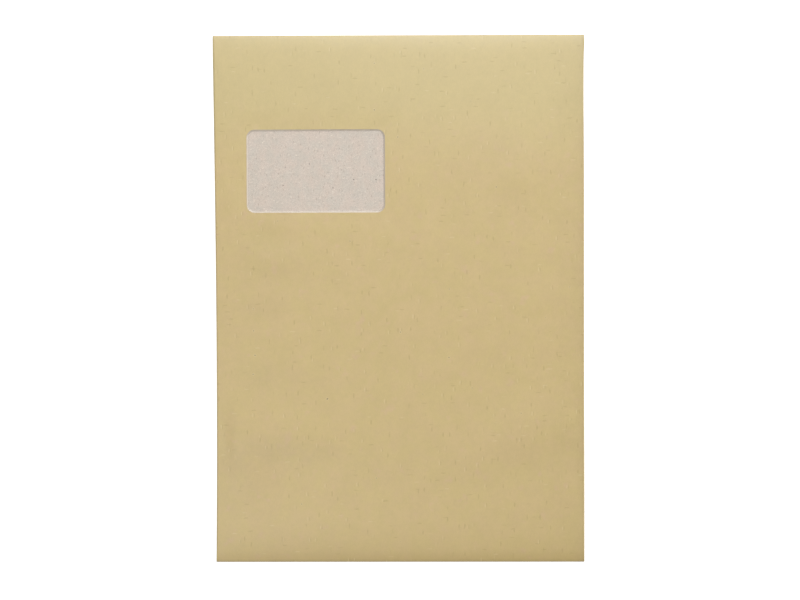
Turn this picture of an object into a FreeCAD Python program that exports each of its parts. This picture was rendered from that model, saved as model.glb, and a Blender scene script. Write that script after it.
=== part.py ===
"""Board-backed window envelope of size C4, lying on its back.

Frame, in millimetres: +X is the right of the front, +Y runs up to the closing flap's fold and +Z
points out of the front. The origin is the middle of the outline, on the surface that the envelope
lies on. One sheet of paper is folded round the edges of a grey board: the two side seams are glued
to the board's back, the bottom flap is glued over them, and the closing flap is folded over the
top edge, with its peel-off strip still covered.
"""

import FreeCAD
import Part
import Sketcher

import math
import os

Vector = FreeCAD.Vector
Rotation = FreeCAD.Rotation
Placement = FreeCAD.Placement

# Driving sizes, in millimetres
SIZES = {
    "envelope_width": 229,
    "envelope_height": 324,
    "paper_thickness": 0.15,
    "board_thickness": 0.6,
    "glue_thickness": 0.05,
    "board_edge_clearance": 2,
    "pocket_gap": 0.65,
    "side_crest_rise": 0.35,
    "end_drop": 0.25,
    "end_slope_run": 15,
    "side_seam_width": 17,
    "side_seam_taper": 6,
    "side_seam_top_relief": 8,
    "corner_relief": 1,
    "bottom_flap_depth": 22,
    "bottom_flap_taper": 8,
    "closing_flap_depth": 40,
    "closing_flap_radius": 8,
    "window_width": 85.3,
    "window_height": 51.1,
    "window_radius": 5,
    "window_from_left": 21,
    "window_from_bottom": 215.9,
    "film_thickness": 0.05,
    "film_overlap": 6,
    "film_bevel": 1.2,
    "film_board_gap": 0.05,
    "window_glue_width": 2.5,
    "window_glue_margin": 1,
    "seam_glue_width": 11,
    "seam_glue_margin": 2,
    "bottom_glue_width": 14,
    "bottom_glue_margin": 3,
    "step_clearance": 0.5,
    "adhesive_width": 16,
    "adhesive_thickness": 0.1,
    "liner_overhang": 2,
    "liner_thickness": 0.07,
    "liner_end_clearance": 3,
    "liner_edge_margin": 6,
}

# Sizes that follow from the driving ones, each worked out from cells above it
DERIVED = {
    "half_width": "=envelope_width / 2",
    "half_height": "=envelope_height / 2",
    "seam_bottom": "=paper_thickness + glue_thickness",
    "seam_top": "=seam_bottom + paper_thickness",
    "board_bottom": "=seam_top + glue_thickness",
    "board_top": "=board_bottom + board_thickness",
    "fold_middle": "=board_bottom + board_thickness / 2",
    "panel_bottom": "=board_top + pocket_gap",
    "panel_top": "=panel_bottom + paper_thickness",
    "crest_top": "=panel_top + side_crest_rise",
    "end_top": "=panel_top - end_drop",
    "side_arc_above": "=crest_top - fold_middle",
    "side_arc_below": "=fold_middle - seam_bottom",
    "end_arc_above": "=end_top - fold_middle",
    "seam_inner_x": "=half_width - side_seam_width",
    "crest_run": "=end_slope_run * (crest_top - end_top) / end_drop",
    "window_left": "=window_from_left - half_width",
    "window_right": "=window_left + window_width",
    "window_bottom": "=window_from_bottom - half_height",
    "window_top": "=window_bottom + window_height",
    "flange_top": "=panel_bottom - glue_thickness",
    "flange_bottom": "=flange_top - film_thickness",
    "pane_bottom": "=board_top + film_board_gap",
    "window_glue_reach": "=window_glue_margin + window_glue_width",
    "liner_length": "=envelope_width - 2 * side_seam_width - 2 * liner_end_clearance",
    "liner_width": "=adhesive_width + 2 * liner_overhang",
    "adhesive_length": "=liner_length - 2 * liner_overhang",
}

# The two upright planes of the frame, as turns of a sketch that is drawn flat
FLAT = Rotation()
ACROSS = Rotation(Vector(1, 0, 0), 90)
ALONG = Rotation(Vector(1, 1, 1), 120)


def make_sheet(doc):
    """The spreadsheet with the driving sizes in column B and what follows from them in column E."""
    sheet = doc.addObject("Spreadsheet::Sheet", "Sizes")
    for row, (alias, value) in enumerate(SIZES.items(), start=1):
        sheet.set(f"A{row}", alias.replace("_", " "))
        sheet.set(f"B{row}", str(value))
        sheet.setAlias(f"B{row}", alias)
    doc.recompute()
    for row, (alias, formula) in enumerate(DERIVED.items(), start=1):
        sheet.set(f"D{row}", alias.replace("_", " "))
        sheet.set(f"E{row}", formula)
        sheet.setAlias(f"E{row}", alias)
    doc.recompute()
    return sheet


def in_sheet(expression):
    """The expression with each size's name written as a reference to its cell."""
    words = []
    word = ""
    for letter in expression + " ":
        if letter.isalnum() or letter in "_.":
            word += letter
            continue
        if word in SIZES or word in DERIVED:
            word = f"Sizes.{word}"
        words.append(word + letter)
        word = ""
    return "".join(words).strip()


def negative(expression):
    """The expression on the other side of the middle."""
    return f"-({expression})"


def draw_outline(sketch, corners, arcs):
    """Draws a closed outline through the corners, each a pair of expressions.

    arcs maps the number of a corner to the centre, a pair of expressions, of the arc that runs
    from that corner to the next one. All other corners are joined by straight lines.
    """
    places = [
        Vector(sketch.evalExpression(in_sheet(first)), sketch.evalExpression(in_sheet(second)), 0)
        for first, second in corners
    ]
    ends = []
    for number, start in enumerate(places):
        finish = places[(number + 1) % len(places)]
        if number not in arcs:
            line = sketch.addGeometry(Part.LineSegment(start, finish))
            ends.append((line, 1, 2))
            continue
        first, second = arcs[number]
        centre = Vector(
            sketch.evalExpression(in_sheet(first)), sketch.evalExpression(in_sheet(second)), 0
        )
        left_turn = (start - centre).cross(finish - centre).z > 0
        begin, stop = (start, finish) if left_turn else (finish, start)
        circle = Part.Circle(centre, Vector(0, 0, 1), (start - centre).Length)
        begin_angle = math.atan2(begin.y - centre.y, begin.x - centre.x)
        stop_angle = math.atan2(stop.y - centre.y, stop.x - centre.x)
        arc = sketch.addGeometry(Part.ArcOfCircle(circle, begin_angle, stop_angle))
        ends.append((arc, 1, 2) if left_turn else (arc, 2, 1))
        bind(sketch, "DistanceX", arc, 3, first)
    for number, (edge, begin, stop) in enumerate(ends):
        next_edge, next_begin, next_stop = ends[(number + 1) % len(ends)]
        sketch.addConstraint(Sketcher.Constraint("Coincident", edge, stop, next_edge, next_begin))
        first, second = corners[number]
        bind(sketch, "DistanceX", edge, begin, first)
        bind(sketch, "DistanceY", edge, begin, second)


def bind(sketch, kind, edge, point, expression):
    """Holds one coordinate of a point, measured from the origin, at the expression's value."""
    value = sketch.evalExpression(in_sheet(expression))
    number = sketch.addConstraint(Sketcher.Constraint(kind, -1, 1, edge, point, value))
    sketch.setExpression(f"Constraints[{number}]", in_sheet(expression))


def outline(doc, name, turn, corners, arcs=None, level=None):
    """A sketch of its own, turned into its plane and set at a level if one is given."""
    sketch = doc.addObject("Sketcher::SketchObject", name)
    sketch.Placement = Placement(Vector(), turn)
    draw_outline(sketch, corners, arcs or {})
    if level:
        sketch.setExpression("Placement.Base.z", in_sheet(level))
    return sketch


def extrude(doc, name, sketch, direction, length):
    """The sketch drawn out both ways along a direction, to a length in all."""
    solid = doc.addObject("Part::Extrusion", name)
    solid.Base = sketch
    solid.DirMode = "Custom"
    solid.Dir = direction
    solid.setExpression("LengthFwd", in_sheet(length))
    solid.Symmetric = True
    solid.Solid = True
    return solid


def rise(doc, name, sketch, length):
    """The sketch drawn straight up from its own level."""
    solid = extrude(doc, name, sketch, Vector(0, 0, 1), length)
    solid.Symmetric = False
    return solid


def combine(doc, kind, name, base, tool):
    """A cut, common or fuse of two objects."""
    result = doc.addObject(f"Part::{kind}", name)
    result.Base = base
    result.Tool = tool
    return result


def rounded(left, bottom, right, top, radius):
    """Corners and arcs of a rectangle with four equal round corners."""
    inner_left = f"{left} + ({radius})"
    inner_right = f"{right} - ({radius})"
    inner_bottom = f"{bottom} + ({radius})"
    inner_top = f"{top} - ({radius})"
    corners = [
        (inner_left, bottom),
        (inner_right, bottom),
        (right, inner_bottom),
        (right, inner_top),
        (inner_right, top),
        (inner_left, top),
        (left, inner_top),
        (left, inner_bottom),
    ]
    arcs = {
        1: (inner_right, inner_bottom),
        3: (inner_right, inner_top),
        5: (inner_left, inner_top),
        7: (inner_left, inner_bottom),
    }
    return corners, arcs


def window_outline(doc, name, growth, level):
    """The window's outline, grown outwards all round, at a level."""
    corners, arcs = rounded(
        f"window_left - ({growth})",
        f"window_bottom - ({growth})",
        f"window_right + ({growth})",
        f"window_top + ({growth})",
        f"window_radius + ({growth})",
    )
    return outline(doc, name, FLAT, corners, arcs, level)


def upper_form(doc, name, inset):
    """The space under the front, down to the folds' widest level, with an inset from the paper.

    Across the width, the front is level between two bands that rise to the side folds. Along the
    height it falls gently towards both ends. The lower of the two sections holds everywhere.
    """
    crest = f"crest_top - {inset}"
    edge = f"half_width - {inset}"
    band = f"panel_top - {inset}"
    crest_x = "half_width - side_arc_above"
    across = outline(
        doc,
        f"{name}_across",
        ACROSS,
        [
            (negative(edge), "fold_middle"),
            (edge, "fold_middle"),
            (crest_x, crest),
            ("seam_inner_x", band),
            (negative("seam_inner_x"), band),
            (negative(crest_x), crest),
        ],
        {1: (crest_x, "fold_middle"), 5: (negative(crest_x), "fold_middle")},
    )
    end = f"half_height - {inset}"
    end_y = "half_height - end_arc_above"
    slope_y = f"{end_y} - crest_run"
    along = outline(
        doc,
        f"{name}_along",
        ALONG,
        [
            (negative(end), "fold_middle"),
            (end, "fold_middle"),
            (end_y, f"end_top - {inset}"),
            (slope_y, crest),
            (negative(slope_y), crest),
            (negative(end_y), f"end_top - {inset}"),
        ],
        {1: (end_y, "fold_middle"), 5: (negative(end_y), "fold_middle")},
    )
    wide = extrude(doc, f"{name}_wide", across, Vector(0, 1, 0), "envelope_height")
    high = extrude(doc, f"{name}_high", along, Vector(1, 0, 0), "envelope_width")
    return combine(doc, "Common", name, wide, high)


def side_seam(doc, name, side):
    """The lower half of a side fold with the seam that lies under the board, its ends tapered."""
    place = negative if side < 0 else str
    arc_x = "half_width - side_arc_below"
    section = outline(
        doc,
        f"{name}_section",
        ACROSS,
        [
            (place("half_width"), "fold_middle"),
            (place(arc_x), "seam_bottom"),
            (place("seam_inner_x"), "seam_bottom"),
            (place("seam_inner_x"), "seam_top"),
            (place(arc_x), "seam_top"),
            (place("half_width - paper_thickness"), "fold_middle"),
        ],
        {0: (place(arc_x), "fold_middle"), 4: (place(arc_x), "fold_middle")},
    )
    low = "corner_relief - half_height"
    high = "half_height - side_seam_top_relief"
    blank = outline(
        doc,
        f"{name}_blank",
        FLAT,
        [
            (place("half_width"), low),
            (place("half_width"), high),
            (place("seam_inner_x"), f"{high} - side_seam_taper"),
            (place("seam_inner_x"), f"{low} + side_seam_taper"),
        ],
    )
    strip = extrude(doc, f"{name}_strip", section, Vector(0, 1, 0), "envelope_height")
    trim = rise(doc, f"{name}_trim", blank, "fold_middle")
    return combine(doc, "Common", name, strip, trim)


def end_flap(doc, name, side, depth, corners, arcs):
    """The lower half of an end fold with its flap, cut to the flap's own outline."""
    place = negative if side < 0 else str
    arc_y = "half_height - fold_middle"
    free_y = f"half_height - {depth}"
    section = outline(
        doc,
        f"{name}_section",
        ALONG,
        [
            (place("half_height"), "fold_middle"),
            (place(arc_y), "0"),
            (place(free_y), "0"),
            (place(free_y), "paper_thickness"),
            (place(arc_y), "paper_thickness"),
            (place("half_height - paper_thickness"), "fold_middle"),
        ],
        {0: (place(arc_y), "fold_middle"), 4: (place(arc_y), "fold_middle")},
    )
    blank = outline(doc, f"{name}_blank", FLAT, corners, arcs)
    strip = extrude(doc, f"{name}_strip", section, Vector(1, 0, 0), "envelope_width")
    trim = rise(doc, f"{name}_trim", blank, "fold_middle")
    return combine(doc, "Common", name, strip, trim)


def bottom_flap(doc):
    """The bottom flap, narrower towards its free edge."""
    fold_x = "half_width - corner_relief"
    free_x = f"{fold_x} - bottom_flap_taper"
    free_y = "bottom_flap_depth - half_height"
    corners = [
        (negative(fold_x), "-half_height"),
        (fold_x, "-half_height"),
        (free_x, free_y),
        (negative(free_x), free_y),
    ]
    return end_flap(doc, "bottom_flap", -1, "bottom_flap_depth", corners, {})


def closing_flap(doc):
    """The closing flap, with round corners at its free edge."""
    flap_x = "half_width - corner_relief"
    arc_x = f"{flap_x} - closing_flap_radius"
    free_y = "half_height - closing_flap_depth"
    arc_y = f"{free_y} + closing_flap_radius"
    corners = [
        (flap_x, "half_height"),
        (negative(flap_x), "half_height"),
        (negative(flap_x), arc_y),
        (negative(arc_x), free_y),
        (arc_x, free_y),
        (flap_x, arc_y),
    ]
    arcs = {2: (negative(arc_x), arc_y), 4: (arc_x, arc_y)}
    return end_flap(doc, "closing_flap", 1, "closing_flap_depth", corners, arcs)


def paper_sheet(doc):
    """The folded sheet: front with its window, two side seams, bottom flap and closing flap."""
    outside = upper_form(doc, "front_outside", "0")
    inside = upper_form(doc, "front_inside", "paper_thickness")
    front = combine(doc, "Cut", "front_shell", outside, inside)
    hole = rise(
        doc,
        "window_punch",
        window_outline(doc, "window_punch_outline", "0", "board_top"),
        "crest_top",
    )
    panel = combine(doc, "Cut", "front_panel", front, hole)
    sheet = doc.addObject("Part::MultiFuse", "paper_sheet")
    sheet.Shapes = [
        panel,
        side_seam(doc, "seam_left", -1),
        side_seam(doc, "seam_right", 1),
        bottom_flap(doc),
        closing_flap(doc),
    ]
    sheet.Refine = True
    return sheet


def back_board(doc):
    """The grey board that the sheet is folded round, a plain rectangle of card."""
    body = doc.addObject("PartDesign::Body", "back_board")
    plane = next(item for item in body.Origin.OriginFeatures if item.Role == "XY_Plane")
    sketch = body.newObject("Sketcher::SketchObject", "board_outline")
    sketch.AttachmentSupport = (plane, [""])
    sketch.MapMode = "FlatFace"
    edge_x = "half_width - paper_thickness - board_edge_clearance"
    edge_y = "half_height - paper_thickness - board_edge_clearance"
    corners = [
        (negative(edge_x), negative(edge_y)),
        (edge_x, negative(edge_y)),
        (edge_x, edge_y),
        (negative(edge_x), edge_y),
    ]
    draw_outline(sketch, corners, {})
    pad = body.newObject("PartDesign::Pad", "board_pad")
    pad.Profile = sketch
    pad.setExpression("Length", in_sheet("board_thickness"))
    body.setExpression("Placement.Base.z", in_sheet("board_bottom"))
    return body


def loft(doc, name, upper, lower):
    """A solid with sloping sides between two outlines."""
    solid = doc.addObject("Part::Loft", name)
    solid.Sections = [upper, lower]
    solid.Solid = True
    solid.Ruled = True
    return solid


def window_film(doc):
    """The clear pane: a flange behind the paper, a sloping rim and a flat part near the board."""
    flange = rise(
        doc,
        "film_flange",
        window_outline(doc, "film_flange_outline", "film_overlap", "flange_bottom"),
        "film_thickness",
    )
    inset = "-film_bevel"
    tray = loft(
        doc,
        "film_tray",
        window_outline(doc, "tray_rim", "0", "flange_bottom"),
        window_outline(doc, "tray_floor", inset, "pane_bottom"),
    )
    hollow = loft(
        doc,
        "film_hollow",
        window_outline(doc, "hollow_rim", "0", "flange_top"),
        window_outline(doc, "hollow_floor", inset, "pane_bottom + film_thickness"),
    )
    whole = combine(doc, "Fuse", "film_blank", flange, tray)
    film = combine(doc, "Cut", "window_film", whole, hollow)
    film.Refine = True
    return film


def window_glue(doc):
    """The ring of glue between the film's flange and the paper."""
    ring = rise(
        doc,
        "glue_ring",
        window_outline(doc, "glue_ring_outline", "window_glue_reach", "flange_top"),
        "glue_thickness",
    )
    hole = rise(
        doc,
        "glue_hole",
        window_outline(doc, "glue_hole_outline", "window_glue_margin", "flange_bottom"),
        "crest_top",
    )
    return combine(doc, "Cut", "window_glue", ring, hole)


def block(doc, name, size, corner):
    """A plain block from its three sizes and its lower left corner, all expressions."""
    solid = doc.addObject("Part::Box", name)
    for side, expression in zip(("Length", "Width", "Height"), size):
        solid.setExpression(side, in_sheet(expression))
    for axis, expression in zip("xyz", corner):
        solid.setExpression(f"Placement.Base.{axis}", in_sheet(expression))
    return solid


def seam_glue(doc, name, side):
    """The glue between one side seam and the board's back."""
    length = "envelope_height - side_seam_top_relief - corner_relief - 2 * side_seam_taper"
    inner = "seam_inner_x + seam_glue_margin"
    left = inner if side > 0 else f"-({inner}) - seam_glue_width"
    return block(
        doc,
        name,
        ("seam_glue_width", length, "glue_thickness"),
        (left, "corner_relief + side_seam_taper - half_height", "seam_top"),
    )


def bottom_glue(doc):
    """The glue on the bottom flap, thick enough between the side seams to reach the board."""
    low = "bottom_flap_depth - bottom_glue_margin - bottom_glue_width - half_height"
    length = "envelope_width - 2 * corner_relief - 2 * bottom_flap_taper"
    thin = block(
        doc,
        "bottom_glue_line",
        (length, "bottom_glue_width", "glue_thickness"),
        (f"-({length}) / 2", low, "paper_thickness"),
    )
    middle = "2 * seam_inner_x - 2 * step_clearance"
    thick = block(
        doc,
        "bottom_glue_fill",
        (middle, "bottom_glue_width", "board_bottom - paper_thickness"),
        (f"-({middle}) / 2", low, "paper_thickness"),
    )
    glue = combine(doc, "Fuse", "bottom_glue", thin, thick)
    glue.Refine = True
    return glue


def adhesive_strip(doc):
    """The sticky strip on the inside of the closing flap."""
    return block(
        doc,
        "adhesive_strip",
        ("adhesive_length", "adhesive_width", "adhesive_thickness"),
        (
            "-adhesive_length / 2",
            "half_height - closing_flap_depth + liner_edge_margin + liner_overhang",
            "paper_thickness",
        ),
    )


def release_liner(doc):
    """The peel-off liner that covers the sticky strip."""
    return block(
        doc,
        "release_liner",
        ("liner_length", "liner_width", "liner_thickness"),
        (
            "-liner_length / 2",
            "half_height - closing_flap_depth + liner_edge_margin",
            "paper_thickness + adhesive_thickness",
        ),
    )


def check(doc, parts):
    """Stops the build if any object failed or any sub-part isn't one or more valid solids."""
    failed = [item.Name for item in doc.Objects if {"Invalid", "Error"} & set(item.State)]
    if failed:
        raise RuntimeError(f"these objects failed: {failed}")
    for part in parts:
        if part.Shape.isNull() or not part.Shape.isValid() or not part.Shape.Solids:
            raise RuntimeError(f"{part.Label} has no valid solid")


def main():
    doc = FreeCAD.newDocument("Envelope")
    make_sheet(doc)
    parts = [
        paper_sheet(doc),
        back_board(doc),
        window_film(doc),
        window_glue(doc),
        seam_glue(doc, "seam_glue_left", -1),
        seam_glue(doc, "seam_glue_right", 1),
        bottom_glue(doc),
        adhesive_strip(doc),
        release_liner(doc),
    ]
    doc.recompute()
    check(doc, parts)
    os.makedirs("parts", exist_ok=True)
    for part in parts:
        part.Label = part.Name
        part.Shape.exportStep(f"parts/{part.Label}.step")
        box = part.Shape.BoundBox
        print(
            f"{part.Label}: {len(part.Shape.Solids)} solid, {part.Shape.Volume:.2f} mm3, "
            f"z {box.ZMin:.3f} to {box.ZMax:.3f}, {box.XLength:.2f} x {box.YLength:.2f} mm"
        )


main()
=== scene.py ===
"""A board-backed window envelope, lying face up and seen from straight above.

The folded sheet and the window's pane are made here as fine meshes in the places of their plain
solids. The board, the glue, the sticky strip and its liner keep their solids and get finishes.
Lengths are in millimetres unless a docstring says otherwise, and turn to metres in the meshes.
"""

import logging
import math
from dataclasses import dataclass, field
from enum import Enum

import bmesh
import bpy
from mathutils import Matrix, Vector, noise


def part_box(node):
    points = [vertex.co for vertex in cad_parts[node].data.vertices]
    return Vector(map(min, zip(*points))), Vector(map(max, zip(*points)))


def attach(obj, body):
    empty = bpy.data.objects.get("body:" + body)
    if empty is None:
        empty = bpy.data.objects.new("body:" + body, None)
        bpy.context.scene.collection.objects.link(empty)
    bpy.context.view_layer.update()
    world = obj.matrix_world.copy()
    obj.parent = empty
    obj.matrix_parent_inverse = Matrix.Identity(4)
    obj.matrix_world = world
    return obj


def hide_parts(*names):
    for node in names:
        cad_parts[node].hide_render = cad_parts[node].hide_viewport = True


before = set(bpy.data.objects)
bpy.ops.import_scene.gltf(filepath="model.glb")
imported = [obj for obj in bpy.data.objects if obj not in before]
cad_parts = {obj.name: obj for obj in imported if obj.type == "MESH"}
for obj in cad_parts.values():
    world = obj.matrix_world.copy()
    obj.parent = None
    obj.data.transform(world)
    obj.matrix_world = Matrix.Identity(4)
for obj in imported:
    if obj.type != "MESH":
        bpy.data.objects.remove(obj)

LOG = logging.getLogger("envelope")
MM = 0.001
HAIR = 1e-6
BODY = "root"
CREASE_ANGLE = 50
OVER_FRONT = Vector((50, -50, 10))
UP = Vector((0, 0, 10))

Triple = tuple[float, float, float]
Color = Triple
Range = tuple[float, ...]
Socket = bpy.types.NodeSocket


class Side(Enum):
    """The two long sides of the envelope, by the sign of X."""

    LEFT = -1
    RIGHT = 1


class End(Enum):
    """The two short ends of the envelope, by the sign of Y."""

    BOTTOM = -1
    TOP = 1


def from_screen(red: int, green: int, blue: int) -> Color:
    """Turns a colour as seen on a screen, 0 to 255, into the linear one that shaders take.

    Args:
        red: Red, 0 to 255.
        green: Green, 0 to 255.
        blue: Blue, 0 to 255.

    Returns:
        The linear colour, each part from 0 to 1.
    """
    parts = []
    for part in (red, green, blue):
        share = part / 255
        parts.append(share / 12.92 if share <= 0.04045 else ((share + 0.055) / 1.055) ** 2.4)
    return parts[0], parts[1], parts[2]


def ease(share: float) -> float:
    """A smooth step from 0 to 1 as share goes from 0 to 1."""
    share = min(max(share, 0.0), 1.0)
    return share * share * (3 - 2 * share)


def soft_min(first: float, second: float, blend: float) -> float:
    """The lower of two values, with the corner between them rounded.

    Args:
        first: One value.
        second: The other value.
        blend: How near the two are where the rounding begins.

    Returns:
        The rounded minimum.
    """
    if blend <= 0:
        return min(first, second)
    share = max(blend - abs(first - second), 0) / blend
    return min(first, second) - share * share * blend / 4


def soft_max(first: float, second: float, blend: float) -> float:
    """The higher of two values, with the corner between them rounded."""
    return -soft_min(-first, -second, blend)


def hump(distance: float, spread: float) -> float:
    """A bell-shaped bump of height 1 at distance 0."""
    return math.exp(-0.5 * (distance / spread) ** 2)


def spaced(stops: list[tuple[float, float]]) -> list[float]:
    """Places from the first stop to the last, each stretch divided evenly.

    Args:
        stops: Places that are all kept, in rising order, each with the longest step after it.

    Returns:
        All the places, in rising order.
    """
    places = [stops[0][0]]
    for (low, step), (high, _) in zip(stops, stops[1:]):
        count = max(1, math.ceil((high - low) / step))
        places += [low + (high - low) * number / count for number in range(1, count + 1)]
    return places


def face_outwards(piece: bpy.types.Object, above: Vector) -> None:
    """Turns an open surface so that its face nearest to a point above it looks up.

    Args:
        piece: The open surface.
        above: The point, in metres.
    """
    shape = bmesh.new()
    shape.from_mesh(piece.data)
    bmesh.ops.recalc_face_normals(shape, faces=shape.faces)
    nearest = min(shape.faces, key=lambda face: (face.calc_center_median() - above).length)
    if nearest.normal.z < 0:
        bmesh.ops.reverse_faces(shape, faces=shape.faces)
    shape.to_mesh(piece.data)
    shape.free()


def give_thickness(piece: bpy.types.Object, thickness: float) -> None:
    """Thickens an open surface inwards and makes the result its smooth-shaded mesh.

    Args:
        piece: The open surface, its outside facing out.
        thickness: The sheet's thickness in metres.
    """
    wall = piece.modifiers.new("wall", "SOLIDIFY")
    wall.thickness = thickness
    wall.offset = -1
    wall.use_even_offset = True
    graph = bpy.context.evaluated_depsgraph_get()
    solid = bpy.data.meshes.new_from_object(piece.evaluated_get(graph))
    piece.modifiers.clear()
    piece.data = solid
    for face in solid.polygons:
        face.use_smooth = True
    solid.set_sharp_from_angle(angle=math.radians(CREASE_ANGLE))


@dataclass
class Surface:
    """An open surface as it grows: its points and the faces between them."""

    points: list[Vector] = field(default_factory=list)
    faces: list[tuple[int, ...]] = field(default_factory=list)

    def add(self, point: Vector) -> int:
        """Adds a point and gives its number."""
        self.points.append(point)
        return len(self.points) - 1

    def weave(self, strips: list[tuple[int, list[Vector]]]) -> None:
        """Adds a band of faces that grows outwards from a rim.

        Args:
            strips: Each rim point's number, in order, with the points that follow it outwards.
        """
        chains = [[start] + [self.add(point) for point in strip] for start, strip in strips]
        for first, second in zip(chains, chains[1:]):
            for step in range(len(first) - 1):
                self.faces.append((first[step], first[step + 1], second[step + 1], second[step]))

    def piece(self, name: str) -> bpy.types.Object:
        """Makes a mesh object of the surface.

        Args:
            name: The object's name.

        Returns:
            The object, linked to the scene.
        """
        mesh = bpy.data.meshes.new(name)
        mesh.from_pydata([point * MM for point in self.points], [], self.faces)
        mesh.validate()
        piece = bpy.data.objects.new(name, mesh)
        bpy.context.scene.collection.objects.link(piece)
        return piece

    def shell(self, name: str, above: Vector, thickness: float) -> bpy.types.Object:
        """Makes an object with a thin wall inside the surface.

        Args:
            name: The object's name.
            above: A point over a face that looks up.
            thickness: The wall's thickness.

        Returns:
            The object, linked to the scene.
        """
        shell = self.piece(name)
        face_outwards(shell, above * MM)
        give_thickness(shell, thickness * MM)
        LOG.info("%s: %d faces", name, len(shell.data.polygons))
        return shell


def dress(piece: bpy.types.Object, finish: bpy.types.Material) -> None:
    """Gives a new piece its body and its finish."""
    piece.data.materials.clear()
    piece.data.materials.append(finish)
    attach(piece, BODY)


def dress_node(node: str, finish: bpy.types.Material) -> None:
    """Gives a solid of the frame its finish."""
    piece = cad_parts[node]
    for place in piece.material_slots:
        place.material = finish
    LOG.info("%s: solid of the frame, finish %s", node, finish.name)


class Graph:
    """The node tree of a material or a world, with short calls that add nodes and join them."""

    COLOR_INPUTS = (6, 7)
    COLOR_OUTPUT = 2

    def __init__(
        self, owner: bpy.types.Material | bpy.types.World, output: str = "ShaderNodeOutputMaterial"
    ) -> None:
        """Empties the owner's tree and gives it an output."""
        owner.use_nodes = True
        self.owner = owner
        self.tree = owner.node_tree
        self.tree.nodes.clear()
        self.output = self.node(output)

    def node(self, kind: str, **settings: object) -> bpy.types.Node:
        """Adds a node and sets its properties."""
        node = self.tree.nodes.new(kind)
        for name, value in settings.items():
            setattr(node, name, value)
        return node

    def feed(self, node: bpy.types.Node, socket: str | int, value: object) -> None:
        """Joins an output to a socket, or sets the socket's own value."""
        if isinstance(value, Socket):
            self.tree.links.new(value, node.inputs[socket])
        else:
            node.inputs[socket].default_value = value

    def place(
        self, stretch: Triple = (1, 1, 1), turn: float = 0, shift: Triple = (0, 0, 0)
    ) -> Socket:
        """The point on the object, stretched along its axes.

        Args:
            stretch: Factors along X, Y and Z.
            turn: A turn about Z after the stretch, in degrees.
            shift: A move after the turn, in stretched millimetres.

        Returns:
            The point's socket.
        """
        source = self.node("ShaderNodeTexCoord")
        mapping = self.node("ShaderNodeMapping", vector_type="POINT")
        self.feed(mapping, "Vector", source.outputs["Object"])
        self.feed(mapping, "Rotation", (0, 0, math.radians(turn)))
        self.feed(mapping, "Scale", tuple(part / MM for part in stretch))
        self.feed(mapping, "Location", shift)
        return mapping.outputs["Vector"]

    def axis(self, name: str) -> Socket:
        """One coordinate of the point on the object, X, Y or Z."""
        parts = self.node("ShaderNodeSeparateXYZ")
        self.feed(parts, 0, self.place())
        return parts.outputs[name]

    def calc(self, operation: str, *values: object) -> Socket:
        """One operation on values or sockets."""
        node = self.node("ShaderNodeMath", operation=operation)
        for number, value in enumerate(values):
            self.feed(node, number, value)
        return node.outputs[0]

    def total(self, *values: object) -> Socket:
        """The sum of two or more values or sockets."""
        result = values[0]
        for value in values[1:]:
            result = self.calc("ADD", result, value)
        return result

    def times(self, first: object, second: object) -> Socket:
        """The product of two values or sockets."""
        return self.calc("MULTIPLY", first, second)

    def span(
        self, value: object, low: float, high: float, to_low: float = 0, to_high: float = 1
    ) -> Socket:
        """Maps the span from low to high smoothly onto another one, with its ends held."""
        node = self.node("ShaderNodeMapRange", clamp=True, interpolation_type="SMOOTHSTEP")
        for number, part in enumerate((value, low, high, to_low, to_high)):
            self.feed(node, number, part)
        return node.outputs[0]

    def mix(self, share: object, first: object, second: object) -> Socket:
        """Blends two colours by a share."""
        node = self.node("ShaderNodeMix", data_type="RGBA")
        self.feed(node, 0, share)
        for number, part in zip(self.COLOR_INPUTS, (first, second)):
            self.feed(node, number, part if isinstance(part, Socket) else (*part, 1))
        return node.outputs[self.COLOR_OUTPUT]

    def dim(self, color: Socket, factor: object) -> Socket:
        """A colour times a factor."""
        node = self.node("ShaderNodeVectorMath", operation="SCALE")
        self.feed(node, 0, color)
        self.feed(node, "Scale", factor)
        return node.outputs[0]

    def bump(self, height: object, depth: float) -> Socket:
        """A surface normal raised by a height of 0 to 1 times a depth."""
        node = self.node("ShaderNodeBump")
        self.feed(node, "Strength", 1.0)
        self.feed(node, "Distance", depth * MM)
        self.feed(node, "Height", height)
        return node.outputs["Normal"]

    def seen_by(self, *rays: str) -> Socket:
        """1 for rays of the kinds that the light path's outputs name, and 0 for others."""
        path = self.node("ShaderNodeLightPath")
        seen = path.outputs[rays[0]]
        for ray in rays[1:]:
            seen = self.calc("MAXIMUM", seen, path.outputs[ray])
        return seen

    def finish(self, **sockets: object) -> bpy.types.Material:
        """Ends the tree in one surface shader with the given sockets.

        Args:
            sockets: Socket names, with underscores for spaces, and what each takes.

        Returns:
            The finished material.
        """
        shader = self.node("ShaderNodeBsdfPrincipled")
        for name, value in sockets.items():
            color = isinstance(value, tuple) and len(value) == 3
            self.feed(shader, name.replace("_", " "), (*value, 1) if color else value)
        self.feed(self.output, "Surface", shader.outputs[0])
        return self.owner


@dataclass(frozen=True)
class Texture:
    """A soft noise on a piece, with scale features to a stretched millimetre."""

    scale: float
    detail: float = 3
    rough: float = 0.6
    stretch: Triple = (1, 1, 1)
    turn: float = 0
    shift: Triple = (0, 0, 0)

    def value(self, graph: Graph) -> Socket:
        """The noise in a piece's node tree, a value about 0.5.

        Args:
            graph: The piece's node tree.

        Returns:
            The noise, a value about 0.5.
        """
        node = graph.node("ShaderNodeTexNoise", noise_dimensions="3D")
        graph.feed(node, "Vector", graph.place(self.stretch, self.turn, self.shift))
        graph.feed(node, "Scale", self.scale)
        graph.feed(node, "Detail", self.detail)
        graph.feed(node, "Roughness", self.rough)
        return node.outputs["Fac"]


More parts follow.
